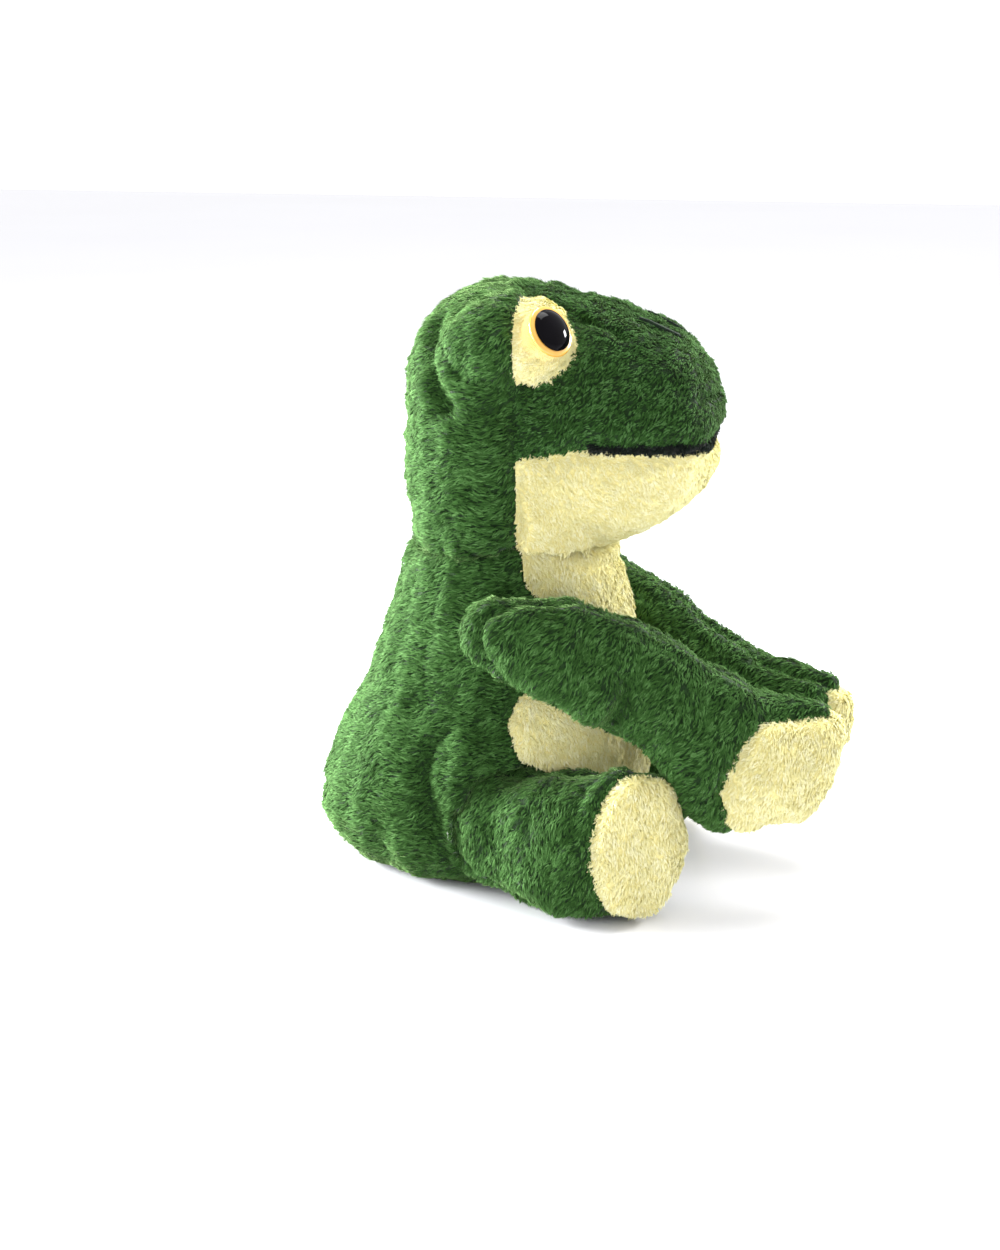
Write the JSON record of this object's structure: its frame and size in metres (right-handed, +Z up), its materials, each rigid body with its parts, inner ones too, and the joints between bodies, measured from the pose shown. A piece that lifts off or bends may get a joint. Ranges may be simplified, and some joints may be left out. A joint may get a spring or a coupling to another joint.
{
  "type": "stuffed dinosaur",
  "caption": "Seated plush dinosaur with stuffed head, arms and legs on a stuffed body, plastic eyes, and pads on its paws and feet.",
  "frame": {"origin": "on the surface it sits on, in its middle plane, under the middle of its length", "axes": "+Z up, the face looks along -Y, the right side is at -X"},
  "size_m": [0.142, 0.2206, 0.2393],
  "materials": {
    "green_plush": "long soft pile",
    "short_green_plush": "short soft pile",
    "yellow_plush": "short soft pile",
    "mouth_yarn": "felted yarn",
    "thread": "sewing thread",
    "amber_eye": "glossy",
    "black_eye": "polished",
    "washer_plastic": "moulded",
    "fibre_fill": "loose polyester fibre",
    "bag_cloth": "plain woven cloth"
  },
  "bodies": {
    "torso": {"body_side_right": "green_plush", "body_side_left": "green_plush", "belly_panel": "yellow_plush", "seat_panel": "green_plush", "body_stuffing": "fibre_fill", "bean_bag": "bag_cloth"},
    "neck": {"neck_stuffing": "fibre_fill"},
    "head": {"hood_right": "green_plush", "hood_left": "green_plush", "snout_panel": "short_green_plush", "jaw_panel": "yellow_plush", "mouth_yarn": "mouth_yarn", "eye_mound_right": "green_plush", "eye_mound_left": "green_plush", "eye_patch_right": "yellow_plush", "eye_patch_left": "yellow_plush", "eye_iris_right": "amber_eye", "eye_iris_left": "amber_eye", "eye_pupil_right": "black_eye", "eye_pupil_left": "black_eye", "eye_washer_right": "washer_plastic", "eye_washer_left": "washer_plastic", "nostril_stitch_right": "thread", "nostril_stitch_left": "thread", "head_stuffing": "fibre_fill"},
    "arm_right": {"arm_outer_right": "green_plush", "arm_inner_right": "green_plush", "paw_pad_right": "yellow_plush", "arm_stuffing_right": "fibre_fill"},
    "leg_right": {"leg_outer_right": "green_plush", "leg_inner_right": "green_plush", "sole_pad_right": "yellow_plush", "leg_stuffing_right": "fibre_fill"},
    "arm_left": {"arm_outer_left": "green_plush", "arm_inner_left": "green_plush", "paw_pad_left": "yellow_plush", "arm_stuffing_left": "fibre_fill"},
    "leg_left": {"leg_outer_left": "green_plush", "leg_inner_left": "green_plush", "sole_pad_left": "yellow_plush", "leg_stuffing_left": "fibre_fill"}
  },
  "joints": [
    {"name": "neck_turn", "type": "hinge", "parent": "torso", "child": "neck", "pos_m": [0, 0.02934, 0.092], "axis": [0, 0, 1], "range_deg": [-20, 20], "stiffness_Nm_per_rad": 0.4},
    {"name": "head_nod", "type": "hinge", "parent": "neck", "child": "head", "pos_m": [0, 0.02934, 0.092], "axis": [1, 0, 0], "range_deg": [-8, 8], "stiffness_Nm_per_rad": 0.8},
    {"name": "shoulder_right", "type": "hinge", "parent": "torso", "child": "arm_right", "pos_m": [-0.041, 0.02434, 0.106], "axis": [-0.943, -0.3253, 0.0701], "range_deg": [0, 26], "stiffness_Nm_per_rad": 0.2},
    {"name": "shoulder_left", "type": "hinge", "parent": "torso", "child": "arm_left", "pos_m": [0.041, 0.02434, 0.106], "axis": [-0.943, 0.3253, -0.0701], "range_deg": [0, 26], "stiffness_Nm_per_rad": 0.2},
    {"name": "hip_right", "type": "hinge", "parent": "torso", "child": "leg_right", "pos_m": [-0.033, 0.02434, 0.03], "axis": [0, 0, 1], "range_deg": [-16, 0], "stiffness_Nm_per_rad": 0.2},
    {"name": "hip_left", "type": "hinge", "parent": "torso", "child": "leg_left", "pos_m": [0.033, 0.02434, 0.03], "axis": [0, 0, 1], "range_deg": [0, 16], "stiffness_Nm_per_rad": 0.2}
  ]
}
